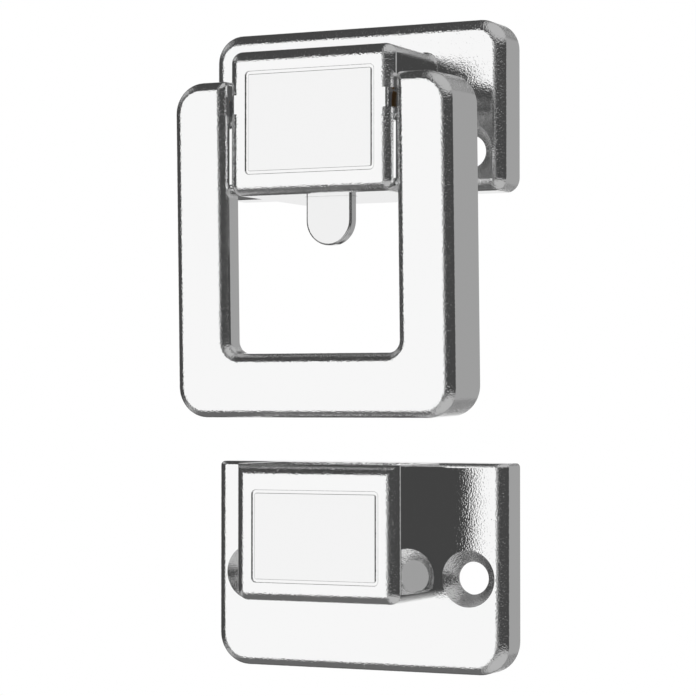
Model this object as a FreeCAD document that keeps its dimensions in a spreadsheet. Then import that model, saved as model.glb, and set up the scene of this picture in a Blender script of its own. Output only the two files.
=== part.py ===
"""Toggle bolt latch: a surface latch with a ring handle and a spring bolt, and its keeper.

Frame, in millimetres: X to the right, -Y out of the door, +Z up.  The origin lies on
the latch's back face, midway between the latch's two screw holes.
"""
import FreeCAD, Part
import Sketcher
import math
import os

doc = FreeCAD.newDocument("ToggleBoltLatch")
sizes = doc.addObject("Spreadsheet::Sheet", "Sizes")

DRIVING = [
    ("plateWidth", 63.5),         # both plates, side to side
    ("holeSpacing", 47.6),        # mounting screws, centre to centre
    ("screwHole", 6.4),
    ("screwSink", 11.1),
    ("holeWall", 3.2),            # what is left of a plate at its screw holes
    ("plateBevel", 2.3),
    ("shellWall", 2.2),           # cast wall round the cored backs
    ("coverLand", 1.32),          # metal between the cover and the cores beside it
    # latch casting
    ("latchTop", 25.6),           # plate edge above the screw holes
    ("latchDrop", 7.8),           # plate edge below the screw holes
    ("latchThick", 8.3),
    ("latchCornerTop", 5.5),
    ("latchCornerLow", 2.8),
    ("housingWide", 35.2),
    ("housingAbove", 10.45),      # housing's top above the pivot
    ("housingDrop", 8.85),
    ("housingDepth", 28.8),       # front face, out from the door
    ("housingBevel", 2.3),
    ("sideWall", 3.2),
    ("frontWall", 2.0),
    ("endWall", 1.8),
    ("labelWide", 27.5),
    ("labelHigh", 19.9),
    ("labelRise", 5.2),           # middle of the label above the screw holes
    ("labelDeep", 0.28),
    ("labelPlate", 0.24),
    ("labelGap", 0.55),           # round the blank plate in its recess
    ("labelCorner", 0.8),
    ("labelRim", 0.12),           # rounding of the recess and of the plate
    ("grooveHigh", 3.7),          # lead-in groove at the pivot
    ("grooveDeep", 0.9),
    ("lugRound", 0.5),            # edge of the square lug before the groove
    ("sidePad", 0.25),            # raised strip below the groove
    ("sidePadWide", 6.0),
    ("sidePadInset", 1.2),        # behind the housing's front face
    ("latchRelief", 10.4),        # cored round behind each screw hole
    ("coreRow", 5.6),             # height of the upper row of cored hollows
    ("footFillet", 0.4),          # where a block stands on its plate
    # back cover
    ("coverThick", 1.2),
    ("coverReach", 3.4),          # cover past the housing's cavity at each side
    ("coverLip", 0.7),            # cover past the cavity at top and bottom
    ("coverGap", 0.1),
    ("coverScrew", 1.7),
    ("coverScrewHead", 3.0),
    ("coverScrewLong", 6.0),
    ("coverScrewInset", 1.8),     # from the cover's side edge
    ("coverScrewDrop", 3.4),      # from the cover's top and bottom edges
    # pivot
    ("pivotDeep", 17.0),
    ("pivotRise", 8.8),
    ("journal", 6.0),
    ("bushWall", 1.0),
    ("bushFlange", 1.2),
    ("bushFlangeThick", 0.8),
    ("runGap", 0.05),
    ("pressGap", 0.01),
    ("square", 3.8),
    ("hangTilt", 1.5),            # degrees, the ring's foot leans to the door
    # ring handle, measured from the pivot
    ("ringWide", 59.3),
    ("ringInner", 36.2),
    ("ringAbove", 5.05),
    ("ringBelow", 60.4),
    ("ringFoot", 12.4),
    ("ringFront", 12.2),
    ("ringBack", 0.7),
    ("innerSkirt", 5.1),
    ("ringFace", 2.4),
    ("ringCorner", 6.0),
    ("ringInnerCorner", 2.4),
    ("ringTipCorner", 0.8),
    ("ringBevel", 2.0),
    ("pivotBlock", 6.0),
    ("pivotBoss", 4.0),
    ("socketDeep", 7.0),
    ("lockPin", 1.6),
    ("lockPinInset", 4.0),
    ("lockPinLong", 7.6),
    # crank
    ("crankThrow", 5.657),
    ("crankStart", 45.0),         # degrees below the level, ring hanging
    ("webAside", 0.7),            # from the bolt's side to the web
    ("webThick", 2.0),
    ("webHub", 4.2),
    ("webTip", 1.9),
    ("crankPin", 2.0),
    ("roller", 3.6),
    ("neck", 3.0),
    ("clipThick", 0.6),
    ("clipMouth", 2.4),           # opening the neck snaps through
    ("clipDiameter", 5.4),
    ("shaftTail", 1.0),
    # bolt
    ("boltWide", 9.8),
    ("boltThick", 2.6),
    ("boltDeep", 19.0),           # middle of the tongue, out from the door
    ("boltReach", 18.4),          # tip below the screw holes
    ("boltEdge", 0.5),
    ("boltGap", 0.15),
    ("footHigh", 5.2),            # block that carries the tongue
    ("carriageFront", 26.2),
    ("carriageBack", 19.6),
    ("yokeGap", 0.2),             # above and below the roller
    ("yokeJaw", 2.0),
    ("wing", 1.5),
    ("wingThick", 2.2),
    ("wingHigh", 3.0),
    ("guideSide", 2.0),           # guide's wall outside the wing
    ("guideWall", 1.2),
    ("guideHigh", 9.5),
    ("ledgeWide", 6.4),
    ("ledgeThick", 2.2),
    ("ledgeBack", 9.3),
    # spring
    ("springDeep", 12.5),
    ("springOuter", 5.0),
    ("springWire", 0.5),
    ("springTopSeat", 15.2),
    ("springGap", 0.05),
    ("guideRod", 2.4),
    ("guideRodGap", 0.25),
    ("guideRodLow", 6.2),
    ("guideRodTop", 18.0),
    # keeper casting
    ("keeperTop", 60.75),         # top edge below the latch's screw holes
    ("keeperHigh", 41.2),
    ("keeperThick", 7.2),
    ("keeperHoleDrop", 22.4),     # screw holes below the keeper's top edge
    ("keeperCorner", 6.5),
    ("keeperTopBevel", 0.9),
    ("keeperBlockWide", 34.8),
    ("keeperBlockHigh", 26.6),
    ("keeperDepth", 26.5),
    ("keeperBevel", 2.3),
    ("keeperWall", 1.9),
    ("pocketBack", 9.0),
    ("keeperRelief", 12.4),
    ("keeperLabelWide", 27.0),
    ("keeperLabelHigh", 17.8),
    ("keeperLabelDrop", 14.0),    # middle of the label below the top edge
]

for row, (alias, number) in enumerate(DRIVING, start=1):
    sizes.set(f"A{row}", alias)
    sizes.set(f"B{row}", str(number))
    sizes.setAlias(f"B{row}", alias)
doc.recompute()

NAMES = sorted((alias for alias, number in DRIVING), key=len, reverse=True)
FINISHED = []
SLACK = 1e-3                      # search windows reach this far past an edge
SHOULDER = 0.3                    # where a rounded corner passes its middle, over its radius


def bound(expression):
    """Write sheet aliases as the sheet's own cells, so that the sizes stay live."""
    words = []
    word = ""
    for letter in str(expression) + " ":
        if letter.isalnum() or letter == "." and word.replace(".", "").isdigit():
            word += letter
            continue
        words.append(f"Sizes.{word}" if word in NAMES else word)
        words.append(letter)
        word = ""
    return "".join(words).strip()


def number(expression):
    """The present value of an expression of sheet sizes."""
    return float(sizes.evalExpression(bound(expression)))


def new_body(name):
    """A body whose label is the sub-part's name."""
    made = doc.addObject("PartDesign::Body", name)
    made.Label = name
    FINISHED.append(made)
    return made


def new_sketch(body, role, offset="0"):
    """A sketch on one of the body's own planes, moved along that plane's normal."""
    plane = next(f for f in body.Origin.OriginFeatures if f.Role == role)
    made = body.newObject("Sketcher::SketchObject", f"{body.Name}_sketch")
    made.AttachmentSupport = [(plane, "")]
    made.MapMode = "FlatFace"
    made.setExpression("AttachmentOffset.Base.z", bound(offset))
    return made


def place(sketch, geometry, point, across, up):
    """Tie a point of the geometry to two distances from the sketch's origin."""
    for kind, axis, distance in (("DistanceX", -2, across), ("DistanceY", -1, up)):
        if abs(number(distance)) < 1e-9:
            sketch.addConstraint(Sketcher.Constraint("PointOnObject", geometry, point, axis))
            continue
        tie = Sketcher.Constraint(kind, -1, 1, geometry, point, number(distance))
        index = sketch.addConstraint(tie)
        sketch.setExpression(f"Constraints[{index}]", bound(distance))


def outline(sketch, points):
    """A closed outline of straight lines through points given as size expressions."""
    spots = [FreeCAD.Vector(number(across), number(up), 0) for across, up in points]
    first = sketch.GeometryCount
    for index, spot in enumerate(spots):
        sketch.addGeometry(Part.LineSegment(spot, spots[(index + 1) % len(spots)]))
    for index, (across, up) in enumerate(points):
        following = first + (index + 1) % len(points)
        sketch.addConstraint(
            Sketcher.Constraint("Coincident", first + index, 2, following, 1))
        place(sketch, first + index, 1, across, up)


def rectangle(sketch, left, right, low, high):
    outline(sketch, [(left, low), (right, low), (right, high), (left, high)])


def circle(sketch, across, up, radius):
    centre = FreeCAD.Vector(number(across), number(up), 0)
    index = sketch.addGeometry(
        Part.Circle(centre, FreeCAD.Vector(0, 0, 1), number(radius)))
    place(sketch, index, 3, across, up)
    size = sketch.addConstraint(Sketcher.Constraint("Radius", index, number(radius)))
    sketch.setExpression(f"Constraints[{size}]", bound(radius))


def settled(made):
    """The feature, once it has been worked out without a fault."""
    doc.recompute()
    if "Invalid" in made.State or "Error" in made.State or not made.Shape.isValid():
        raise RuntimeError(f"{made.Name} failed: {made.State}")
    return made


def feature(body, kind, sketch, length, reverse=False):
    made = body.newObject(f"PartDesign::{kind}", f"{body.Name}_{kind}")
    made.Profile = sketch
    made.setExpression("Length", bound(length))
    made.Reversed = reverse
    sketch.Visibility = False
    return settled(made)


def pad(body, sketch, length, reverse=False):
    return feature(body, "Pad", sketch, length, reverse)


def cut(body, sketch, length, reverse=False):
    """A pocket, which has to take something away."""
    before = body.Shape.Volume
    made = feature(body, "Pocket", sketch, length, reverse)
    if not made.Shape.Volume < before - 1e-6:
        raise RuntimeError(f"{made.Name} cuts nothing")
    return made


def revolve(body, sketch, axis):
    made = body.newObject("PartDesign::Revolution", f"{body.Name}_Revolution")
    made.Profile = sketch
    made.ReferenceAxis = (sketch, [axis])
    made.Angle = 360.0
    return settled(made)


def edge_names(shape, wanted):
    """The names of the edges whose ends and middle satisfy a test."""
    found = []
    for index, edge in enumerate(shape.Edges, start=1):
        middle = edge.valueAt((edge.FirstParameter + edge.LastParameter) / 2)
        ends = [vertex.Point for vertex in edge.Vertexes]
        if wanted(ends, middle):
            found.append(f"Edge{index}")
    return found


def near(first, second):
    return abs(first - second) < 1e-4


def along_y(ends, middle):
    """True for a straight edge that runs out from the door."""
    return (len(ends) == 2 and near(ends[0].x, ends[1].x) and near(ends[0].z, ends[1].z)
            and near(middle.x, ends[0].x) and not near(ends[0].y, ends[1].y))


def round_edges(body, names, radius):
    base = body.Tip
    made = body.newObject("PartDesign::Fillet", f"{body.Name}_Fillet")
    made.Base = (base, names)
    made.setExpression("Radius", bound(radius))
    return settled(made)


def face_edges(body, depth, left, right, low, high):
    """The edges of the face at one depth, inside a window seen from the front."""
    def wanted(ends, middle):
        points = ends + [middle]
        return (all(near(spot.y, depth) for spot in points)
                and all(left < spot.x < right and low < spot.z < high for spot in points))
    return edge_names(body.Shape, wanted)


def screw_holes(body, rise, thick, relief):
    """Two countersunk holes for the mounting screws, with the casting cored behind them."""
    sketch = new_sketch(body, "XZ_Plane")
    circle(sketch, "-holeSpacing / 2", rise, f"{relief} / 2")
    circle(sketch, "holeSpacing / 2", rise, f"{relief} / 2")
    cut(body, sketch, f"{thick} - holeWall", reverse=True)
    sketch = new_sketch(body, "XZ_Plane", thick)
    circle(sketch, "-holeSpacing / 2", rise, "screwHole / 2")
    circle(sketch, "holeSpacing / 2", rise, "screwHole / 2")
    doc.recompute()
    hole = body.newObject("PartDesign::Hole", f"{body.Name}_Hole")
    hole.Profile = sketch
    doc.recompute()
    hole.ThreadType = "None"
    hole.DepthType = "ThroughAll"
    hole.setExpression("Diameter", bound("screwHole"))
    hole.HoleCutType = "Countersink"
    hole.HoleCutCustomValues = True
    hole.setExpression("HoleCutDiameter", bound("screwSink"))
    hole.HoleCutCountersinkAngle = 82.0
    doc.recompute()


def label_recess(body, depth, wide, high, rise):
    sketch = new_sketch(body, "XZ_Plane", depth)
    rectangle(sketch, f"-{wide} / 2", f"{wide} / 2",
              f"{rise} - {high} / 2", f"{rise} + {high} / 2")
    cut(body, sketch, "labelDeep")
    floor = -number(f"{depth} - labelDeep")
    corners = edge_names(body.Shape, lambda ends, middle: along_y(ends, middle)
                         and near(max(spot.y for spot in ends), floor)
                         and near(abs(middle.x), number(f"{wide} / 2")))
    round_edges(body, corners, "labelCorner")
    half = number(f"{wide} / 2") + SLACK
    rim = face_edges(body, -number(depth), -half, half, number(f"{rise} - {high} / 2") - SLACK,
                     number(f"{rise} + {high} / 2") + SLACK)
    round_edges(body, rim, "labelRim")


def label_plate(name, depth, wide, high, rise):
    """A thin blank plate that lies in its recess with a fine gap all round."""
    body = new_body(name)
    sketch = new_sketch(body, "XZ_Plane", f"{depth} - labelDeep")
    rectangle(sketch, f"-{wide} / 2 + labelGap", f"{wide} / 2 - labelGap",
              f"{rise} - {high} / 2 + labelGap", f"{rise} + {high} / 2 - labelGap")
    pad(body, sketch, "labelPlate")
    corners = edge_names(body.Shape, along_y)
    round_edges(body, corners, "labelCorner / 2")
    front = face_edges(body, -number(f"{depth} - labelDeep + labelPlate"), -99, 99, -999, 99)
    round_edges(body, front, "labelRim")
    return body


def round_bar(name, pieces):
    """Coaxial steps along X, each given as inner end, outer end and radius."""
    body = new_body(name)
    points = [(pieces[0][0], "0")]
    for start, stop, radius in pieces:
        points.append((start, radius))
        points.append((stop, radius))
    points.append((pieces[-1][1], "0"))
    sketch = new_sketch(body, "XY_Plane")
    outline(sketch, points)
    revolve(body, sketch, "H_Axis")
    return body


def core_pockets(body, rows, depth, left, right):
    """Cored hollows in the back of a plate, mirrored left and right."""
    for low, high in rows:
        sketch = new_sketch(body, "XZ_Plane")
        rectangle(sketch, left, right, low, high)
        rectangle(sketch, f"-({right})", f"-({left})", low, high)
        cut(body, sketch, depth, reverse=True)


# ---------------------------------------------------------------- latch casting
CAVITY_SIDE = "(housingWide / 2 - sideWall)"
HOUSING_TOP = "(pivotRise + housingAbove)"
CAVITY_TOP = f"({HOUSING_TOP} - endWall)"
CAVITY_FLOOR = "(endWall - housingDrop)"
COVER_SIDE = f"({CAVITY_SIDE} + coverReach)"
COVER_TOP = f"({CAVITY_TOP} + coverLip)"
COVER_LOW = f"({CAVITY_FLOOR} - coverLip)"
CORE_LEFT = f"({COVER_SIDE} + coverLand)"
WEB_INNER = "(boltWide / 2 + webAside)"
GUIDE_SIDE = "(boltWide / 2 + wing + boltGap + guideSide)"


def make_latch_housing():
    body = new_body("latch_housing")
    sketch = new_sketch(body, "XZ_Plane")
    rectangle(sketch, "-plateWidth / 2", "plateWidth / 2", "-latchDrop", "latchTop")
    pad(body, sketch, "latchThick")
    top = edge_names(body.Shape, lambda ends, middle: along_y(ends, middle) and middle.z > 0)
    round_edges(body, top, "latchCornerTop")
    low = edge_names(body.Shape, lambda ends, middle: along_y(ends, middle)
                     and middle.z < 0 and near(abs(middle.x), number("plateWidth / 2")))
    round_edges(body, low, "latchCornerLow")
    front = face_edges(body, -number("latchThick"), -99, 99, -99, 99)
    round_edges(body, front, "plateBevel")

    sketch = new_sketch(body, "XZ_Plane")
    rectangle(sketch, "-housingWide / 2", "housingWide / 2", "-housingDrop", HOUSING_TOP)
    pad(body, sketch, "housingDepth")
    front = face_edges(body, -number("housingDepth"), -99, 99, -99, 99)
    corners = edge_names(body.Shape, lambda ends, middle: along_y(ends, middle)
                         and near(abs(middle.x), number("housingWide / 2"))
                         and max(-spot.y for spot in ends) > number("latchThick + 1"))
    round_edges(body, front + corners, "housingBevel")
    side = number("housingWide / 2") + SLACK
    foot = face_edges(body, -number("latchThick"), -side, side, -99, number(HOUSING_TOP) + SLACK)
    round_edges(body, foot, "footFillet")

    sketch = new_sketch(body, "XZ_Plane")
    rectangle(sketch, f"-{CAVITY_SIDE}", CAVITY_SIDE, CAVITY_FLOOR, CAVITY_TOP)
    cut(body, sketch, "housingDepth - frontWall", reverse=True)

    sketch = new_sketch(body, "XZ_Plane")
    rectangle(sketch, f"-{COVER_SIDE}", COVER_SIDE, COVER_LOW, COVER_TOP)
    cut(body, sketch, "coverThick", reverse=True)

    sketch = new_sketch(body, "XZ_Plane")
    for side in ("-1", "1"):
        for height in (f"({COVER_LOW} + coverScrewDrop)", f"({COVER_TOP} - coverScrewDrop)"):
            circle(sketch, f"{side} * ({COVER_SIDE} - coverScrewInset)", height,
                   "coverScrew / 2 + runGap")
    cut(body, sketch, "coverScrewLong + coverThick", reverse=True)

    label_recess(body, "housingDepth", "labelWide", "labelHigh", "labelRise")
    screw_holes(body, "0", "latchThick", "latchRelief")

    # guide channels for the bolt's wings, open at the top
    inner = "boltWide / 2 + boltGap"
    back = "(boltDeep - wingThick / 2 - boltGap - guideWall)"
    for side in (-1, 1):
        sketch = new_sketch(body, "XZ_Plane", back)
        rectangle(sketch, f"{side} * ({inner})", f"{side} * {GUIDE_SIDE}",
                  f"{CAVITY_FLOOR} - endWall / 2", f"{CAVITY_FLOOR} + guideHigh")
        pad(body, sketch, f"housingDepth - frontWall / 2 - {back}")
        sketch = new_sketch(body, "XZ_Plane", "boltDeep - wingThick / 2 - boltGap")
        rectangle(sketch, f"{side} * ({inner} - boltGap)", f"{side} * ({inner} + wing + boltGap)",
                  CAVITY_FLOOR, f"{CAVITY_FLOOR} + guideHigh")
        cut(body, sketch, "wingThick + 2 * boltGap", reverse=True)

    # slot for the tongue in the lower wall
    sketch = new_sketch(body, "XY_Plane", "-housingDrop")
    rectangle(sketch, "-boltWide / 2 - boltGap", "boltWide / 2 + boltGap",
              "-boltDeep - boltThick / 2 - boltGap", "-boltDeep + boltThick / 2 + boltGap")
    cut(body, sketch, "endWall", reverse=True)

    # seat under the upper wall for the spring and its rod
    sketch = new_sketch(body, "XY_Plane", "springTopSeat")
    circle(sketch, "0", "-springDeep", "springOuter / 2 + bushWall")
    pad(body, sketch, f"{CAVITY_TOP} - springTopSeat + endWall / 2")
    sketch = new_sketch(body, "XY_Plane", "springTopSeat")
    circle(sketch, "0", "-springDeep", "guideRod / 2 + pressGap")
    cut(body, sketch, "guideRodTop - springTopSeat", reverse=True)

    # pivot bores and the grooves that lead to them from the front edge
    sketch = new_sketch(body, "YZ_Plane", "-housingWide")
    circle(sketch, "-pivotDeep", "pivotRise", "journal / 2 + bushWall + pressGap")
    cut(body, sketch, "2 * housingWide", reverse=True)
    for side in (-1, 1):
        offset = "housingWide / 2 - grooveDeep" if side > 0 else "-housingWide / 2"
        sketch = new_sketch(body, "YZ_Plane", offset)
        rectangle(sketch, "-housingDepth", "-pivotDeep",
                  "pivotRise - grooveHigh / 2", "pivotRise + grooveHigh / 2")
        cut(body, sketch, "grooveDeep", reverse=True)

    # square lugs that interrupt the front bevel where the grooves come out
    sketch = new_sketch(body, "XY_Plane", "pivotRise - grooveHigh / 2")
    aside = "(housingWide / 2 - grooveDeep)"
    root = "(housingWide / 2 - housingBevel - lugRound)"
    for side in ("-1", "1"):
        corner = [(root, "0"), (f"{aside} - lugRound", "0"),
                  (f"{aside} - {SHOULDER} * lugRound", f"{SHOULDER} * lugRound"),
                  (aside, "lugRound"),
                  (aside, "housingBevel"), (root, "housingBevel")]
        outline(sketch, [(f"{side} * ({across})", f"{back} - housingDepth")
                         for across, back in corner])
    pad(body, sketch, "grooveHigh")

    # raised strips on the housing's sides, from the grooves down
    for offset in ("housingWide / 2 - sidePad", "-housingWide / 2 - sidePad"):
        sketch = new_sketch(body, "YZ_Plane", offset)
        rectangle(sketch, "sidePadInset - housingDepth",
                  "sidePadInset + sidePadWide - housingDepth",
                  "housingBevel - housingDrop",
                  "pivotRise - grooveHigh / 2 - sidePadWide / 2")
        pad(body, sketch, "2 * sidePad")
        sketch = new_sketch(body, "YZ_Plane", offset)
        circle(sketch, "sidePadInset + sidePadWide / 2 - housingDepth",
               "pivotRise - grooveHigh / 2 - sidePadWide / 2", "sidePadWide / 2")
        pad(body, sketch, "2 * sidePad")

    rows = [("latchRelief / 2 + shellWall / 2", "latchTop - 2 * shellWall - coreRow"),
            ("latchTop - shellWall - coreRow", "latchTop - shellWall")]
    core_pockets(body, rows, "latchThick - holeWall", CORE_LEFT,
                 "plateWidth / 2 - shellWall")
    return body


def make_back_cover():
    body = new_body("back_cover")
    sketch = new_sketch(body, "XZ_Plane")
    rectangle(sketch, f"-{COVER_SIDE} + coverGap", f"{COVER_SIDE} - coverGap",
              f"{COVER_LOW} + coverGap", f"{COVER_TOP} - coverGap")
    pad(body, sketch, "coverThick")
    sketch = new_sketch(body, "XZ_Plane", "coverThick / 2")
    for side in ("-1", "1"):
        for height in (f"({COVER_LOW} + coverScrewDrop)", f"({COVER_TOP} - coverScrewDrop)"):
            circle(sketch, f"{side} * ({COVER_SIDE} - coverScrewInset)", height,
                   "coverScrewHead / 2 + coverGap")
    cut(body, sketch, "coverThick / 2")
    sketch = new_sketch(body, "XZ_Plane")
    for side in ("-1", "1"):
        for height in (f"({COVER_LOW} + coverScrewDrop)", f"({COVER_TOP} - coverScrewDrop)"):
            circle(sketch, f"{side} * ({COVER_SIDE} - coverScrewInset)", height,
                   "coverScrew / 2 + coverGap")
    cut(body, sketch, "coverThick", reverse=True)
    return body


def cylinder(name, radius, height, spot, direction):
    """A cylinder along X, Y or Z whose radius, height and start follow the sheet."""
    made = doc.addObject("Part::Cylinder", name)
    made.setExpression("Radius", bound(radius))
    made.setExpression("Height", bound(height))
    made.Placement.Rotation = FreeCAD.Rotation(FreeCAD.Vector(0, 0, 1), direction)
    for axis, distance in zip("xyz", spot):
        made.setExpression(f"Placement.Base.{axis}", bound(distance))
    return made


def less(name, base, tool):
    made = doc.addObject("Part::Cut", name)
    made.Base = base
    made.Tool = tool
    return made


def joined(name, pieces):
    made = doc.addObject("Part::MultiFuse", name)
    made.Shapes = pieces
    return made


def group(name, pieces):
    """Identical pieces that stay separate solids in one sub-part."""
    made = doc.addObject("Part::Compound", name)
    made.Label = name
    made.Links = pieces
    FINISHED.append(made)
    return made


RIGHT = FreeCAD.Vector(1, 0, 0)
OUT = FreeCAD.Vector(0, -1, 0)
UP = FreeCAD.Vector(0, 0, 1)


def make_cover_screws():
    screws = []
    for side in ("-1", "1"):
        for height in (f"({COVER_LOW} + coverScrewDrop)", f"({COVER_TOP} - coverScrewDrop)"):
            across = f"{side} * ({COVER_SIDE} - coverScrewInset)"
            head = cylinder("screw_head", "coverScrewHead / 2", "coverThick / 2 - coverGap / 2",
                            (across, "0", height), OUT)
            shank = cylinder("screw_shank", "coverScrew / 2", "coverScrewLong",
                             (across, "0", height), OUT)
            drive = cylinder("screw_drive", "coverScrew / 3", "coverThick / 4",
                             (across, "0", height), OUT)
            screws.append(less("screw", joined("screw_blank", [head, shank]), drive))
    return group("cover_screws", screws)


# ---------------------------------------------------------------- pivot
def at_pivot(piece, tilt=True):
    """Put a piece whose origin is the pivot axis in its place, leaning as the ring hangs."""
    angle = number("hangTilt") if tilt else 0.0
    piece.Placement.Rotation = FreeCAD.Rotation(RIGHT, angle)
    piece.setExpression("Placement.Base.y", bound("-pivotDeep"))
    piece.setExpression("Placement.Base.z", bound("pivotRise"))
    return piece


def sided(side, near_end, far_end):
    """Start and end of a stretch along X for the right (1) or the left (-1) side."""
    return (f"{side} * ({near_end})", f"{side} * ({far_end})")


def make_bush(name, side):
    body = new_body(name)
    inside = f"{CAVITY_SIDE} - bushFlangeThick"
    outside = "housingWide / 2 - grooveDeep"
    bore = "journal / 2 + runGap"
    barrel = "journal / 2 + bushWall"
    points = [(inside, bore), (outside, bore), (outside, barrel),
              (f"{CAVITY_SIDE} - pressGap", barrel),
              (f"{CAVITY_SIDE} - pressGap", f"{barrel} + bushFlange"),
              (inside, f"{barrel} + bushFlange")]
    sketch = new_sketch(body, "XY_Plane")
    outline(sketch, [(f"{side} * ({across})", up) for across, up in points])
    revolve(body, sketch, "H_Axis")
    return at_pivot(body, tilt=False)


def make_shaft(name, side):
    """A stub shaft: square into the ring, journal in the bush, square in the web."""
    collar = "square / 2"
    clip_start = f"({WEB_INNER} - clipThick - 2 * pressGap)"
    web_end = f"{WEB_INNER} + webThick + runGap"
    arm = "(ringInner / 2 - runGap)"
    steps = [(f"{clip_start} - shaftTail", clip_start, collar),
             (clip_start, WEB_INNER, "neck / 2"),
             (WEB_INNER, web_end, collar),
             (web_end, arm, "journal / 2"),
             (arm, f"{arm} + socketDeep", collar)]
    pieces = [(*sided(side, start, stop), radius) for start, stop, radius in steps]
    body = round_bar(name, pieces)
    for start, length in ((WEB_INNER, "webThick + 2 * runGap"), (arm, "socketDeep")):
        offset = start if side > 0 else f"-({start}) - ({length})"
        sketch = new_sketch(body, "YZ_Plane", offset)
        rectangle(sketch, "-square / 2", "square / 2", "-square / 2", "square / 2")
        pad(body, sketch, length)
    sketch = new_sketch(body, "XZ_Plane", "-square")
    circle(sketch, f"{side} * (ringInner / 2 + lockPinInset)", "0", "lockPin / 2 + pressGap")
    cut(body, sketch, "2 * square", reverse=True)
    return at_pivot(body)


CRANK_LOCAL = "(crankStart - hangTilt)"
PIN_OUT = f"(-crankThrow * cos({CRANK_LOCAL}))"
PIN_UP = f"(-crankThrow * sin({CRANK_LOCAL}))"


def make_web(name, side):
    body = new_body(name)
    offset = WEB_INNER if side > 0 else f"-{WEB_INNER} - webThick"
    aside_out = f"webTip * sin({CRANK_LOCAL})"
    aside_up = f"webTip * cos({CRANK_LOCAL})"
    sketch = new_sketch(body, "YZ_Plane", offset)
    circle(sketch, "0", "0", "webHub")
    pad(body, sketch, "webThick")
    sketch = new_sketch(body, "YZ_Plane", offset)
    outline(sketch, [(aside_out, f"-{aside_up}"),
                     (f"{PIN_OUT} + {aside_out}", f"{PIN_UP} - {aside_up}"),
                     (f"{PIN_OUT} - {aside_out}", f"{PIN_UP} + {aside_up}"),
                     (f"-{aside_out}", aside_up)])
    pad(body, sketch, "webThick")
    sketch = new_sketch(body, "YZ_Plane", offset)
    circle(sketch, PIN_OUT, PIN_UP, "webTip")
    pad(body, sketch, "webThick")
    sketch = new_sketch(body, "YZ_Plane", offset)
    rectangle(sketch, "-square / 2 - pressGap", "square / 2 + pressGap",
              "-square / 2 - pressGap", "square / 2 + pressGap")
    circle(sketch, PIN_OUT, PIN_UP, "crankPin / 2 + pressGap")
    cut(body, sketch, "webThick", reverse=True)
    return at_pivot(body)


def at_crank(piece):
    """Put a round piece on the crank pin's axis, with the ring hanging."""
    piece.setExpression("Placement.Base.y", bound("-pivotDeep - crankThrow * cos(crankStart)"))
    piece.setExpression("Placement.Base.z", bound("pivotRise - crankThrow * sin(crankStart)"))
    return piece


def make_crank_pin():
    half = f"({WEB_INNER} + webThick)"
    bevel = "crankPin / 8"
    body = new_body("crank_pin")
    sketch = new_sketch(body, "XY_Plane")
    outline(sketch, [(f"-{half}", "0"), (f"-{half}", f"crankPin / 2 - {bevel}"),
                     (f"-{half} + {bevel}", "crankPin / 2"),
                     (f"{half} - {bevel}", "crankPin / 2"),
                     (half, f"crankPin / 2 - {bevel}"), (half, "0")])
    revolve(body, sketch, "H_Axis")
    return at_crank(body)


def make_roller():
    body = new_body("crank_roller")
    half = "(boltWide / 2 + boltGap)"
    sketch = new_sketch(body, "YZ_Plane", f"-{half}")
    circle(sketch, "0", "0", "roller / 2")
    circle(sketch, "0", "0", "crankPin / 2 + runGap")
    pad(body, sketch, f"2 * {half}")
    return at_crank(body)


def make_clips():
    clips = []
    for side in (-1, 1):
        start = f"({WEB_INNER} - pressGap - clipThick)"
        across = start if side > 0 else f"-{start} - clipThick"
        disc = cylinder("clip_disc", "clipDiameter / 2", "clipThick",
                        (across, "-pivotDeep", "pivotRise"), RIGHT)
        bore = cylinder("clip_bore", "neck / 2 + pressGap", "clipThick",
                        (across, "-pivotDeep", "pivotRise"), RIGHT)
        mouth = doc.addObject("Part::Box", "clip_mouth")
        mouth.setExpression("Length", bound("clipThick"))
        mouth.setExpression("Width", bound("clipDiameter"))
        mouth.setExpression("Height", bound("clipMouth"))
        mouth.setExpression("Placement.Base.x", bound(across))
        mouth.setExpression("Placement.Base.y", bound("-pivotDeep"))
        mouth.setExpression("Placement.Base.z", bound("pivotRise - clipMouth / 2"))
        clips.append(less("clip", disc, joined("clip_opening", [bore, mouth])))
    return group("retaining_clips", clips)


def make_lock_pins():
    pins = []
    for side in (-1, 1):
        across = f"{side} * (ringInner / 2 + lockPinInset)"
        pin = cylinder("lock_pin", "lockPin / 2", "lockPinLong - 2 * runGap",
                       (across, "pivotBoss - runGap", "0"), OUT)
        bore = cylinder("lock_pin_bore", "lockPin / 4", "lockPinLong",
                        (across, "pivotBoss - runGap", "0"), OUT)
        pins.append(less("roll_pin", pin, bore))
    return at_pivot(group("shaft_lock_pins", pins))


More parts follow.
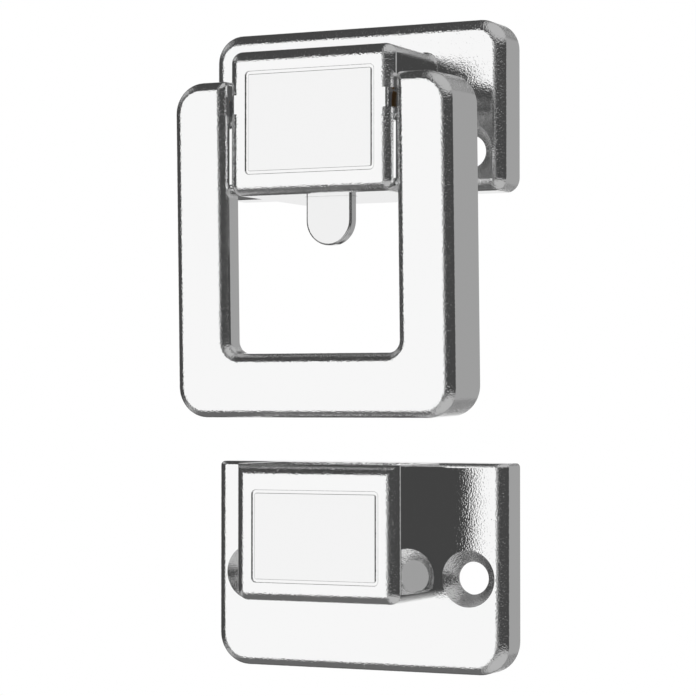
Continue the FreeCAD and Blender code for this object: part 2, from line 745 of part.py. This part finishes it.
# ---------------------------------------------------------------- ring handle
def make_pull_handle():
    body = new_body("pull_handle")
    half = "ringWide / 2"
    inner = "ringInner / 2"
    foot = "(ringFoot - ringBelow)"
    sketch = new_sketch(body, "XZ_Plane", "-ringBack")
    outline(sketch, [(f"-{half}", "-ringBelow"), (half, "-ringBelow"), (half, "ringAbove"),
                     (inner, "ringAbove"), (inner, foot), (f"-{inner}", foot),
                     (f"-{inner}", "ringAbove"), (f"-{half}", "ringAbove")])
    pad(body, sketch, "ringFront + ringBack")
    outer = edge_names(body.Shape, lambda ends, middle: along_y(ends, middle)
                       and near(abs(middle.x), number(half)))
    round_edges(body, outer, "ringCorner")
    inside = edge_names(body.Shape, lambda ends, middle: along_y(ends, middle)
                        and near(abs(middle.x), number(inner)) and middle.z < 0)
    round_edges(body, inside, "ringInnerCorner")
    tips = edge_names(body.Shape, lambda ends, middle: along_y(ends, middle)
                      and near(abs(middle.x), number(inner)) and middle.z > 0)
    round_edges(body, tips, "ringTipCorner")
    front = face_edges(body, -number("ringFront"), -99, 99, -99, 99)
    round_edges(body, front, "ringBevel")

    # the back: a deep outer skirt, a shallow inner one and a channel between them
    rim = f"({half} - shellWall)"
    low = "(shellWall - ringBelow)"
    sketch = new_sketch(body, "XZ_Plane", "-ringBack")
    rectangle(sketch, f"-{rim}", rim, low, "-pivotBlock")
    cut(body, sketch, "ringBack + ringFront - innerSkirt", reverse=True)
    lip = f"({inner} + shellWall)"
    sketch = new_sketch(body, "XZ_Plane", "ringFront - innerSkirt")
    outline(sketch, [(f"-{rim}", low), (rim, low), (rim, "-pivotBlock"), (lip, "-pivotBlock"),
                     (lip, f"{foot} - shellWall"), (f"-{lip}", f"{foot} - shellWall"),
                     (f"-{lip}", "-pivotBlock"), (f"-{rim}", "-pivotBlock")])
    cut(body, sketch, "innerSkirt - ringFace", reverse=True)

    # bosses round the sockets for the stub shafts
    boss_long = "(socketDeep + shellWall)"
    for offset in (inner, f"-{inner} - {boss_long}"):
        sketch = new_sketch(body, "YZ_Plane", offset)
        circle(sketch, "0", "0", "pivotBoss")
        pad(body, sketch, boss_long)
    sketch = new_sketch(body, "YZ_Plane", f"-{inner} - socketDeep")
    rectangle(sketch, "-square / 2 - pressGap", "square / 2 + pressGap",
              "-square / 2 - pressGap", "square / 2 + pressGap")
    cut(body, sketch, "ringInner + 2 * socketDeep", reverse=True)
    sketch = new_sketch(body, "XZ_Plane", "-pivotBoss")
    for side in ("-1", "1"):
        circle(sketch, f"{side} * ({inner} + lockPinInset)", "0", "lockPin / 2 + pressGap")
    cut(body, sketch, "lockPinLong", reverse=True)
    return at_pivot(body)


# ---------------------------------------------------------------- bolt and spring
STOP = f"({CAVITY_FLOOR} + boltGap)"
YOKE_MIDDLE = "(pivotRise - crankThrow * sin(crankStart))"
YOKE_HALF = "(roller / 2 + yokeGap)"


def make_slide_bolt():
    body = new_body("slide_bolt")
    half = "boltWide / 2"
    tongue_back = "(boltDeep - boltThick / 2)"
    round_middle = f"({half} - boltReach)"
    sketch = new_sketch(body, "XZ_Plane", tongue_back)
    rectangle(sketch, f"-{half}", half, round_middle, f"{STOP} + ledgeThick")
    pad(body, sketch, "boltThick")
    sketch = new_sketch(body, "XZ_Plane", tongue_back)
    circle(sketch, "0", round_middle, half)
    pad(body, sketch, "boltThick")
    edges = edge_names(body.Shape, lambda ends, middle: middle.z < number(STOP)
                       and all(near(spot.y, middle.y) for spot in ends)
                       and not near(ends[0].z, ends[-1].z) or
                       (middle.z < number(round_middle) - 1
                        and all(near(spot.y, middle.y) for spot in ends)))
    round_edges(body, edges, "boltEdge")

    sketch = new_sketch(body, "XZ_Plane", tongue_back)
    rectangle(sketch, f"-{half}", half, STOP, f"{STOP} + footHigh")
    pad(body, sketch, f"carriageFront - ({tongue_back})")
    sketch = new_sketch(body, "XZ_Plane", "carriageBack")
    rectangle(sketch, f"-{half}", half, STOP, f"{YOKE_MIDDLE} + {YOKE_HALF} + yokeJaw")
    pad(body, sketch, "carriageFront - carriageBack")
    sketch = new_sketch(body, "XZ_Plane", "boltDeep - wingThick / 2")
    rectangle(sketch, f"-{half} - wing", f"{half} + wing", STOP, f"{STOP} + wingHigh")
    pad(body, sketch, "wingThick")
    sketch = new_sketch(body, "XY_Plane", STOP)
    rectangle(sketch, "-ledgeWide / 2", "ledgeWide / 2", "-carriageBack - ledgeThick",
              "-ledgeBack")
    pad(body, sketch, "ledgeThick")
    sketch = new_sketch(body, "YZ_Plane", f"-{half}")
    rectangle(sketch, "-pivotDeep - crankThrow - roller / 2 - yokeGap",
              "-carriageBack + yokeGap",
              f"{YOKE_MIDDLE} - {YOKE_HALF}", f"{YOKE_MIDDLE} + {YOKE_HALF}")
    cut(body, sketch, "boltWide", reverse=True)
    sketch = new_sketch(body, "XY_Plane", STOP)
    circle(sketch, "0", "-springDeep", "guideRod / 2 + guideRodGap")
    cut(body, sketch, "ledgeThick", reverse=True)
    return body


def make_spring():
    """The spring's outer shape: a tube from the bolt's ledge to the seat above it."""
    low = f"{STOP} + ledgeThick + springGap"
    length = f"springTopSeat - springGap - ({low})"
    outer = cylinder("spring_outer", "springOuter / 2", length, ("0", "-springDeep", low), UP)
    inner = cylinder("spring_inner", "springOuter / 2 - springWire", length,
                     ("0", "-springDeep", low), UP)
    spring = less("bolt_spring", outer, inner)
    spring.Label = "bolt_spring"
    FINISHED.append(spring)
    return spring


def make_guide_rod():
    body = new_body("spring_guide_rod")
    bevel = "guideRod / 8"
    sketch = new_sketch(body, "XZ_Plane")
    outline(sketch, [("0", "-guideRodLow"), (f"guideRod / 2 - {bevel}", "-guideRodLow"),
                     ("guideRod / 2", f"{bevel} - guideRodLow"),
                     ("guideRod / 2", "guideRodTop - runGap"), ("0", "guideRodTop - runGap")])
    revolve(body, sketch, "V_Axis")
    body.setExpression("Placement.Base.y", bound("-springDeep"))
    return body


# ---------------------------------------------------------------- keeper casting
KEEPER_LOW = "(-keeperTop - keeperHigh)"
BLOCK_LOW = "(-keeperTop - keeperBlockHigh)"


def core_grid(body, span, count, low, high, depth):
    """A row of cored hollows behind a plate, divided by ribs as thick as the walls."""
    left, right = span
    pitch = f"(({right}) - ({left}) + shellWall) / {count}"
    sketch = new_sketch(body, "XZ_Plane")
    for index in range(count):
        start = f"{left} + {index} * {pitch}"
        rectangle(sketch, start, f"{start} + {pitch} - shellWall", low, high)
    cut(body, sketch, depth, reverse=True)


def make_keeper_housing():
    body = new_body("keeper_housing")
    half = "plateWidth / 2"
    sketch = new_sketch(body, "XZ_Plane")
    rectangle(sketch, f"-{half}", half, KEEPER_LOW, "-keeperTop")
    pad(body, sketch, "keeperThick")
    low = edge_names(body.Shape, lambda ends, middle: along_y(ends, middle)
                     and middle.z < number("-keeperTop - keeperHigh / 2"))
    round_edges(body, low, "keeperCorner")
    top = number("-keeperTop")
    sides_and_foot = [name for name in face_edges(body, -number("keeperThick"), -99, 99, -999, 0)
                      if not near(body.Shape.getElement(name).CenterOfMass.z, top)]
    round_edges(body, sides_and_foot, "plateBevel")
    rim = [name for name in face_edges(body, -number("keeperThick"), -99, 99, -999, 0)
           if near(body.Shape.getElement(name).CenterOfMass.z, top)]
    round_edges(body, rim, "keeperTopBevel")

    sketch = new_sketch(body, "XZ_Plane")
    rectangle(sketch, "-keeperBlockWide / 2", "keeperBlockWide / 2", BLOCK_LOW, "-keeperTop")
    pad(body, sketch, "keeperDepth")
    front = face_edges(body, -number("keeperDepth"), -99, 99, -999, 0)
    corners = edge_names(body.Shape, lambda ends, middle: along_y(ends, middle)
                         and near(abs(middle.x), number("keeperBlockWide / 2"))
                         and near(middle.z, number(BLOCK_LOW)))
    round_edges(body, front + corners, "keeperBevel")

    sketch = new_sketch(body, "XY_Plane", "-keeperTop")
    rectangle(sketch, "keeperWall - keeperBlockWide / 2", "keeperBlockWide / 2 - keeperWall",
              "keeperWall - keeperDepth", "-pocketBack")
    cut(body, sketch, "keeperBlockHigh - keeperWall")
    label_recess(body, "keeperDepth", "keeperLabelWide", "keeperLabelHigh",
                 "(-keeperTop - keeperLabelDrop)")
    screw_holes(body, "-keeperTop - keeperHoleDrop", "keeperThick", "keeperRelief")

    edge = "(plateWidth / 2 - shellWall - plateBevel / 2)"
    beside = "(keeperBlockWide / 2 + shellWall)"
    boss = "(keeperRelief / 2 + shellWall / 2)"
    hole_row = "(-keeperTop - keeperHoleDrop)"
    top_row = "-keeperTop - shellWall"
    bottom = f"{KEEPER_LOW} + shellWall + plateBevel / 2"
    depth = "keeperThick - holeWall"
    for span in ((f"-{edge}", f"-{beside}"), (beside, edge)):
        core_grid(body, span, 1, f"{hole_row} + {boss}", top_row, depth)
        core_grid(body, span, 1, bottom, f"{hole_row} - {boss}", depth)
    middle = (f"-{beside} + shellWall", f"{beside} - shellWall")
    core_grid(body, middle, 3, bottom, f"{BLOCK_LOW} - shellWall", depth)
    split = f"({BLOCK_LOW} - keeperTop) / 2"
    for low, high in ((f"{split} + shellWall / 2", top_row),
                      (BLOCK_LOW, f"{split} - shellWall / 2")):
        core_grid(body, middle, 3, low, high, depth)
    return body


make_latch_housing()
label_plate("latch_label_plate", "housingDepth", "labelWide", "labelHigh", "labelRise")
make_back_cover()
make_cover_screws()
make_guide_rod()
make_pull_handle()
for word, side in (("left", -1), ("right", 1)):
    make_bush(f"pivot_bush_{word}", side)
    make_shaft(f"stub_shaft_{word}", side)
    make_web(f"crank_web_{word}", side)
make_lock_pins()
make_clips()
make_crank_pin()
make_roller()
make_slide_bolt()
make_spring()
make_keeper_housing()
label_plate("keeper_label_plate", "keeperDepth", "keeperLabelWide", "keeperLabelHigh",
            "(-keeperTop - keeperLabelDrop)")

doc.recompute()
failed = [f"{thing.Name}: {thing.State}" for thing in doc.Objects
          if "Invalid" in thing.State or "Error" in thing.State]
failed += [f"{thing.Label} has no valid shape" for thing in FINISHED
           if thing.Shape.isNull() or not thing.Shape.isValid()]
if failed:
    raise RuntimeError("; ".join(failed))

os.makedirs("parts", exist_ok=True)
for thing in FINISHED:
    thing.Shape.exportStep(f"parts/{thing.Label}.step")
    print(f"{thing.Label}: {len(thing.Shape.Solids)} solid(s), {thing.Shape.Volume:.1f} mm3")
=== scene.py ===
# Toggle bolt latch with its keeper: finishes, spring, studio and camera.
import math

import bmesh
import bpy
from mathutils import Matrix, Vector


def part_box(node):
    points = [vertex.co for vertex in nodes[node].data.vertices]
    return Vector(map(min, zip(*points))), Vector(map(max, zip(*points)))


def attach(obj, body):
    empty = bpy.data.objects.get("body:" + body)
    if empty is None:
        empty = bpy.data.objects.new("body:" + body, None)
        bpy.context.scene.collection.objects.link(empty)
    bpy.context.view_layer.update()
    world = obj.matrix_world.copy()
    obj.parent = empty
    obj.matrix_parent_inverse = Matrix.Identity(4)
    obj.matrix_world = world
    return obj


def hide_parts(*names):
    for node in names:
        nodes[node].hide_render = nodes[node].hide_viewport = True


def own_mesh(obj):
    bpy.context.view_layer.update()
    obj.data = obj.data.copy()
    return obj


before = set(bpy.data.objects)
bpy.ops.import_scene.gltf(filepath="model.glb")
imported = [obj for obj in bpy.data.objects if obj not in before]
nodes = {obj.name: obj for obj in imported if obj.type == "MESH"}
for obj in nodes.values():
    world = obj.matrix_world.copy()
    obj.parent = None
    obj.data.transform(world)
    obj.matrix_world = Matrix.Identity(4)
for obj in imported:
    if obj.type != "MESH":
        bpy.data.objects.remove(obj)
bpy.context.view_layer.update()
mm = 0.001


# ---- small helpers

def linear(hexColour):
    # sRGB hex to the linear values that shaders take
    def channel(start):
        value = int(hexColour[start:start + 2], 16) / 255
        return value / 12.92 if value <= 0.04045 else ((value + 0.055) / 1.055) ** 2.4
    return (channel(1), channel(3), channel(5), 1.0)


def addNode(tree, kind, settings=None, values=None, links=None):
    # one shader node with its settings, its unlinked values and its incoming links
    node = tree.nodes.new(kind)
    for name, value in (settings or {}).items():
        setattr(node, name, value)
    for name, value in (values or {}).items():
        node.inputs[name].default_value = value
    for name, source in (links or {}).items():
        tree.links.new(source, node.inputs[name])
    return node


def newMaterial(name):
    material = bpy.data.materials.new(name)
    material.use_nodes = True
    material.node_tree.nodes.clear()
    return material, material.node_tree


def finishOn(material, *names):
    # CAD nodes keep their meshes and only change their finish
    for name in names:
        slots = nodes[name].data.materials
        slots.clear()
        slots.append(material)


def newObject(name, mesh, material=None):
    made = bpy.data.objects.new(name, mesh)
    bpy.context.scene.collection.objects.link(made)
    if material:
        mesh.materials.append(material)
    return made


# ---- camera: a long lens to the right of the latch and level with its middle

camera = {
    "turn": 26.0,        # degrees round to the right
    "tilt": 1.19,        # degrees upward
    "lens": 136.1,       # mm, as is the sensor's width
    "sensor": 36.0,
    "eye": (227.0, -477.0, -48.95),   # mm
    "clip": (0.01, 20.0),             # m
}


def makeCamera():
    data = bpy.data.cameras.new("camera")
    data.lens = camera["lens"]
    data.sensor_width = camera["sensor"]
    data.clip_start, data.clip_end = camera["clip"]
    eye = newObject("camera", data)
    eye.location = Vector(camera["eye"]) * mm
    eye.rotation_euler = (math.radians(90 + camera["tilt"]), 0, math.radians(camera["turn"]))
    bpy.context.scene.camera = eye
    print("camera placed")


# ---- studio: chrome shows only what stands round it, so the room has a white panel in
# front, grey ones behind, and is pale elsewhere but for a dark belt and a dark arch

studio = {
    "dim": 0.062,        # the belt and the arch, as metal shows them
    "pale": 0.48,        # what lies beyond them
    "belt": {"axis": "Z", "middle": 0.0, "fade": (0.24, 0.50)},
    "arch": {"axis": "X", "middle": -0.44, "fade": (0.18, 0.45)},
    "plain": 0.72,       # light on everything that isn't a mirror
    "white": "#ffffff",
    "panels": [          # direction, width and softness in degrees, brightness
        {"to": (-0.485, -0.875, 0.0), "wide": 21.0, "soft": 1.5, "bright": 0.99},
        {"to": (-0.485, -0.875, -0.36), "wide": 21.0, "soft": 1.5, "bright": 0.99},
        {"to": (-0.05, -1.0, 0.0), "wide": 20.0, "soft": 17.0, "bright": 0.34},
        {"to": (0.44, 0.90, 0.0), "wide": 30.0, "soft": 8.0, "bright": 0.36},
        {"to": (-0.20, 0.0, -0.98), "wide": 50.0, "soft": 8.0, "bright": 0.14},
        {"to": (-0.44, 0.90, 0.0), "wide": 22.0, "soft": 8.0, "bright": 0.86},
    ],
}


def panelGlow(tree, direction, panel):
    # bright inside a cone about the panel's direction, fading at its edge
    aim = Vector(panel["to"]).normalized()
    dot = addNode(tree, "ShaderNodeVectorMath", {"operation": "DOT_PRODUCT"},
                  {1: tuple(aim)}, {0: direction})
    inner = math.cos(math.radians(panel["wide"] - panel["soft"]))
    outer = math.cos(math.radians(panel["wide"]))
    glow = addNode(tree, "ShaderNodeMapRange", {"interpolation_type": "SMOOTHSTEP"},
                   {"From Min": outer, "From Max": inner, "To Min": 0.0,
                    "To Max": panel["bright"]}, {"Value": dot.outputs["Value"]})
    return glow.outputs["Result"]


def makeStudio():
    world = bpy.data.worlds.new("studio")
    bpy.context.scene.world = world
    world.use_nodes = True
    tree = world.node_tree
    tree.nodes.clear()
    direction = addNode(tree, "ShaderNodeTexCoord").outputs["Generated"]
    total = panelGlow(tree, direction, studio["panels"][0])
    for panel in studio["panels"][1:]:
        total = addNode(tree, "ShaderNodeMath", {"operation": "MAXIMUM"}, {},
                        {0: total, 1: panelGlow(tree, direction, panel)}).outputs["Value"]
    # the belt runs round at the latch's own height and the arch over it, and between them
    # they draw the castings' rounded edges dark
    along = addNode(tree, "ShaderNodeSeparateXYZ", {}, {}, {"Vector": direction})
    beyond = []
    for dark in (studio["belt"], studio["arch"]):
        off = addNode(tree, "ShaderNodeMath", {"operation": "SUBTRACT"}, {1: dark["middle"]},
                      {0: along.outputs[dark["axis"]]})
        off = addNode(tree, "ShaderNodeMath", {"operation": "ABSOLUTE"}, {},
                      {0: off.outputs["Value"]})
        start, end = dark["fade"]
        off = addNode(tree, "ShaderNodeMapRange", {"interpolation_type": "SMOOTHSTEP"},
                      {"From Min": start, "From Max": end}, {"Value": off.outputs["Value"]})
        beyond.append(off.outputs["Result"])
    both = addNode(tree, "ShaderNodeMath", {"operation": "MULTIPLY"}, {},
                   {0: beyond[0], 1: beyond[1]})
    pale = addNode(tree, "ShaderNodeMapRange", {},
                   {"To Min": studio["dim"], "To Max": studio["pale"]},
                   {"Value": both.outputs["Value"]})
    total = addNode(tree, "ShaderNodeMath", {"operation": "MAXIMUM"}, {},
                    {0: total, 1: pale.outputs["Result"]}).outputs["Value"]
    # metal sees the room, all else an even light, and the camera a white background
    room = addNode(tree, "ShaderNodeBackground", {}, {"Strength": 1.0}, {"Color": total})
    even = addNode(tree, "ShaderNodeBackground", {},
                   {"Color": linear(studio["white"]), "Strength": studio["plain"]})
    white = addNode(tree, "ShaderNodeBackground", {},
                    {"Color": linear(studio["white"]), "Strength": 1.0})
    path = addNode(tree, "ShaderNodeLightPath")
    lit = addNode(tree, "ShaderNodeMixShader", {}, {},
                  {0: path.outputs["Is Diffuse Ray"], 1: room.outputs[0], 2: even.outputs[0]})
    seen = addNode(tree, "ShaderNodeMixShader", {}, {},
                   {0: path.outputs["Is Camera Ray"], 1: lit.outputs[0], 2: white.outputs[0]})
    addNode(tree, "ShaderNodeOutputWorld", {}, {}, {"Surface": seen.outputs[0]})
    print("studio lit")


softbox = {
    "across": 0.9,       # m
    "at": (-0.5, -0.7, 1.3),
    "power": 14.0,       # W
}


def makeSoftbox():
    # a large softbox overhead for the matt pieces and the floor's shadow
    data = bpy.data.lights.new("softbox", "AREA")
    data.shape = "SQUARE"
    data.size = softbox["across"]
    data.energy = softbox["power"]
    lamp = newObject("softbox", data)
    lamp.location = softbox["at"]
    lamp.rotation_euler = (-Vector(softbox["at"])).to_track_quat("-Z", "Y").to_euler()
    lamp.visible_glossy = False
    print("softbox hung")


floorDisc = {
    "radius": 0.62,      # m
    "rise": -0.30,       # m, so it lies below the latch's screw holes
    "sides": 96,
    "colour": "#f1f1f0",
}


def makeFloor():
    # pale paper well below, since the latch hangs on a door and not on a table
    material, tree = newMaterial("paperFloor")
    paper = addNode(tree, "ShaderNodeBsdfDiffuse", {}, {"Color": linear(floorDisc["colour"])})
    addNode(tree, "ShaderNodeOutputMaterial", {}, {}, {"Surface": paper.outputs[0]})
    disc = bmesh.new()
    bmesh.ops.create_circle(disc, cap_ends=True, segments=floorDisc["sides"],
                            radius=floorDisc["radius"],
                            matrix=Matrix.Translation((0, 0, floorDisc["rise"])))
    mesh = bpy.data.meshes.new("floor")
    disc.to_mesh(mesh)
    disc.free()
    floor = newObject("floor", mesh, material)
    floor.visible_glossy = False     # or it would close the lower part of the white panel
    print("floor laid")


# ---- finishes

ripples = {              # octaves of each pattern and how strong the finer ones are
    "grain": {"Detail": 1.5, "Roughness": 0.55},
    "brushed": {"Detail": 3.0, "Roughness": 0.6},
}

wheel = {                # cosines between a face and a flat one where buffing fades in
    "front": 0.94,
    "side": 0.88,
    "full": 0.99,
}

# painted light: deep in a gap the metal glows an even grey instead of reflecting
paintedGapGlow = {
    "reflections": 3.5,  # past this many reflections the metal emits one even grey, a painted glow
    "colour": "#5a5a5a",
}


def metalFinish(name, colour, roughness, grain=None, brushed=None, buffed=None):
    # grain: cell size and height in mm of a fine ripple; brushed: mm across, mm along, height
    # buffed: what the wheel leaves of the ripple on flat fronts and on flat side walls,
    # while it all stays on the rounded edges, which the wheel only skims
    material, tree = newMaterial(name)
    place = addNode(tree, "ShaderNodeTexCoord").outputs["Object"]
    links = {}
    if grain:
        size, height = grain
        ripple = addNode(tree, "ShaderNodeTexNoise", {"noise_dimensions": "3D"},
                         {"Scale": 1 / (size * mm), **ripples["grain"]},
                         {"Vector": place})
    if brushed:
        across, along, height = brushed
        stretch = addNode(tree, "ShaderNodeMapping", {},
                          {"Scale": (1 / (along * mm), 1 / (across * mm), 1 / (across * mm))},
                          {"Vector": place})
        ripple = addNode(tree, "ShaderNodeTexNoise", {"noise_dimensions": "3D"},
                         {"Scale": 1.0, **ripples["brushed"]},
                         {"Vector": stretch.outputs["Vector"]})
    if grain or brushed:
        bump = addNode(tree, "ShaderNodeBump", {}, {"Strength": 1.0, "Distance": height * mm},
                       {"Height": ripple.outputs["Fac"]})
        if buffed:
            facing = addNode(tree, "ShaderNodeTexCoord").outputs["Normal"]
            facing = addNode(tree, "ShaderNodeVectorMath", {"operation": "ABSOLUTE"}, {},
                             {0: facing}).outputs["Vector"]
            facing = addNode(tree, "ShaderNodeSeparateXYZ", {}, {}, {"Vector": facing})
            front = addNode(tree, "ShaderNodeMath", {"operation": "MAXIMUM"}, {},
                            {0: facing.outputs["Y"], 1: facing.outputs["Z"]})
            left = []
            for turned, start, rest in (
                    (front.outputs["Value"], wheel["front"], buffed[0]),
                    (facing.outputs["X"], wheel["side"], buffed[1])):
                fade = addNode(tree, "ShaderNodeMapRange", {},
                               {"From Min": start, "From Max": wheel["full"],
                                "To Min": 1.0, "To Max": rest}, {"Value": turned})
                left.append(fade.outputs["Result"])
            least = addNode(tree, "ShaderNodeMath", {"operation": "MINIMUM"}, {},
                            {0: left[0], 1: left[1]})
            tree.links.new(least.outputs["Value"], bump.inputs["Strength"])
        links["Normal"] = bump.outputs["Normal"]
    metal = addNode(tree, "ShaderNodeBsdfPrincipled", {},
                    {"Base Color": linear(colour), "Metallic": 1.0, "Roughness": roughness},
                    links)
    # painted light: deep in a gap, after too many reflections, the metal emits a dark grey
    # glow where it would go black
    path = addNode(tree, "ShaderNodeLightPath")
    deep = addNode(tree, "ShaderNodeMath", {"operation": "GREATER_THAN"},
                   {1: paintedGapGlow["reflections"]}, {0: path.outputs["Ray Depth"]})
    grey = addNode(tree, "ShaderNodeEmission", {},
                   {"Color": linear(paintedGapGlow["colour"]), "Strength": 1.0})
    mix = addNode(tree, "ShaderNodeMixShader", {}, {},
                  {0: deep.outputs["Value"], 1: metal.outputs["BSDF"], 2: grey.outputs[0]})
    addNode(tree, "ShaderNodeOutputMaterial", {}, {}, {"Surface": mix.outputs[0]})
    return material


finishes = {
    # bright chrome plated on a blasted zinc die casting: a mirror with a fine orange peel,
    # drawn coarser than its real tenth of a millimetre so that it shows
    "chromeCasting": {"colour": "#f8f8f8", "roughness": 0.02, "grain": (0.34, 0.085),
                      "buffed": (0.45, 0.04)},
    # bright chrome plated on a stamped steel bolt: the same mirror on a smoother ground
    "chromeBolt": {"colour": "#f1f1f1", "roughness": 0.03, "grain": (0.5, 0.02)},
    # satin nickel sheet: its reflections are soft and a shade darker than the chrome's
    "satinLabel": {"colour": "#f5f5f5", "roughness": 0.10},
    # passivated zinc plate on pressed steel: a cool dull grey with faint rolling lines
    "zincPlate": {"colour": "#c9ccd0", "roughness": 0.32, "brushed": (0.05, 1.5, 0.004)},
    # turned and ground steel: clean and bright with fine tool marks
    "brightSteel": {"colour": "#c4c4c6", "roughness": 0.22, "brushed": (0.04, 0.8, 0.002)},
    # oiled spring wire and strip: darker and smooth
    "springSteel": {"colour": "#8f9398", "roughness": 0.28},
    # sintered bronze: warm, matt and slightly porous
    "sinteredBronze": {"colour": "#b98e55", "roughness": 0.42, "grain": (0.12, 0.008)},
}

pieceFinish = {
    "chromeCasting": ("latch_housing", "keeper_housing", "pull_handle"),
    "chromeBolt": ("slide_bolt",),
    "satinLabel": ("latch_label_plate", "keeper_label_plate"),
    "zincPlate": ("back_cover", "cover_screws", "crank_web_left", "crank_web_right"),
    "brightSteel": ("spring_guide_rod", "stub_shaft_left", "stub_shaft_right",
                    "crank_pin", "crank_roller"),
    "springSteel": ("shaft_lock_pins", "retaining_clips"),
    "sinteredBronze": ("pivot_bush_left", "pivot_bush_right"),
}


# ---- the bolt's return spring, wound from wire inside the housing

spring = {
    "wire": 0.5,         # mm
    "closed": 1,         # dead turns at each end
    "turns": 9,          # live turns
    "ringSteps": 8,
    "turnSteps": 24,
    "keep": 0.596,       # its length with the bolt drawn up, as a share
}


def makeSpring(material):
    low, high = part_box("bolt_spring")
    wire = spring["wire"] * mm / 2
    coil = (high.x - low.x) / 2 - wire
    middle = (low + high) / 2
    wound = bmesh.new()
    section = Matrix.Translation((middle.x + coil, middle.y, low.z + wire))
    section = section @ Matrix.Rotation(math.radians(90), 4, "X")
    bmesh.ops.create_circle(wound, cap_ends=True, segments=spring["ringSteps"], radius=wire,
                            matrix=section)
    dead = spring["closed"] * 2 * wire
    live = (high.z - low.z) - 2 * wire - 2 * dead
    end = wound.faces[:] + wound.edges[:] + wound.verts[:]
    for turns, rise in ((spring["closed"], dead), (spring["turns"], live),
                        (spring["closed"], dead)):
        steps = turns * spring["turnSteps"]
        wind = bmesh.ops.spin(wound, geom=end, cent=(middle.x, middle.y, 0), axis=(0, 0, 1),
                              dvec=(0, 0, rise / steps), angle=turns * 2 * math.pi,
                              steps=steps, use_merge=False, use_duplicate=False)
        end = wind["geom_last"]
    bmesh.ops.recalc_face_normals(wound, faces=wound.faces[:])
    for face in wound.faces:
        face.smooth = True
    mesh = bpy.data.meshes.new("wound_spring")
    wound.to_mesh(mesh)
    wound.free()
    made = newObject("wound_spring", mesh, material)
    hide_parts("bolt_spring")
    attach(made, "latch")
    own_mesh(made)
    print("spring wound", len(mesh.polygons), "faces")


makeCamera()
makeStudio()
makeSoftbox()
makeFloor()
materials = {name: metalFinish(name, **finish) for name, finish in finishes.items()}
for name, pieces in pieceFinish.items():
    finishOn(materials[name], *pieces)
print("finishes on", len(materials))
makeSpring(materials["springSteel"])

scene = bpy.context.scene
scene.view_settings.view_transform = "Standard"
